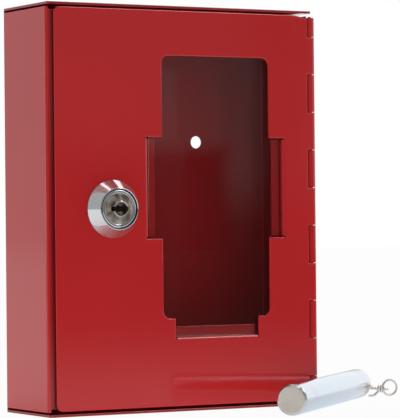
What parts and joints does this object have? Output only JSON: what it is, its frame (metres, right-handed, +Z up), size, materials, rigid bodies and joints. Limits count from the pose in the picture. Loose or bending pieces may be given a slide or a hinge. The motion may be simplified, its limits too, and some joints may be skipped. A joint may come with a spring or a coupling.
{
  "type": "break glass key box",
  "caption": "Wall-mounted folded steel box with a hinged, cam-locked door, whose framed glass pane is broken with a loose bar hammer to reach the key inside.",
  "frame": {"origin": "middle of the case's underside, halfway between its front and its back", "axes": "+Z up, -Y out of the front of the door, +Y into the wall, +X towards the hinge"},
  "size_m": [0.1763, 0.0904, 0.16],
  "materials": {
    "red_paint": "semi-gloss",
    "pane_glass": "polished",
    "lock_chrome": "polished",
    "plug_chrome": "polished",
    "zinc_steel": "bright zinc plate",
    "wafer_brass": "stamped",
    "hammer_steel": "blue-white zinc plate",
    "wire_steel": "drawn wire"
  },
  "bodies": {
    "case": {"case_shell": "red_paint", "hinge_pin": "red_paint", "key_hook": "red_paint"},
    "door": {"door_panel": "red_paint", "lock_bezel": "lock_chrome", "lock_housing": "lock_chrome", "tooth_washer": "zinc_steel", "lock_nut": "zinc_steel"},
    "pane": {"glass_pane": "pane_glass"},
    "lock_rotor": {"lock_plug": "plug_chrome", "tumbler_wafers": "wafer_brass", "tumbler_springs": "wire_steel", "stop_washer": "zinc_steel", "lock_cam": "zinc_steel", "cam_washer": "zinc_steel", "cam_screw": "zinc_steel"},
    "link": {"chain_link": "wire_steel"},
    "hammer": {"hammer_rod": "hammer_steel", "hammer_eye": "wire_steel"}
  },
  "joints": [
    {"name": "door_hinge", "type": "hinge", "parent": "case", "child": "door", "pos_m": [0.06, -0.01815, 0.08], "axis": [0, 0, 1], "range_deg": [0, 180]},
    {"name": "glass_lift", "type": "slide", "parent": "door", "child": "pane", "axis": [0, 0, 1], "range_m": [0, 0.009]},
    {"name": "lock_turn", "type": "hinge", "parent": "door", "child": "lock_rotor", "pos_m": [-0.0321, -0.02, 0.08], "axis": [0, 1, 0], "range_deg": [0, 90]},
    {"name": "hammer_swing", "type": "hinge", "parent": "case", "child": "link", "pos_m": [0.09876, 0.00627, 0.0054], "axis": [0, 0, 1], "range_deg": [0, 180]},
    {"name": "hammer_tilt", "type": "hinge", "parent": "link", "child": "hammer", "pos_m": [0.09876, 0.00627, 0.0054], "axis": [-0.6782, 0.7349, 0], "range_deg": [0, 85]}
  ],
  "couplings": [
    {"joint": "hammer_swing", "follows": "door_hinge", "ratio": 1}
  ]
}
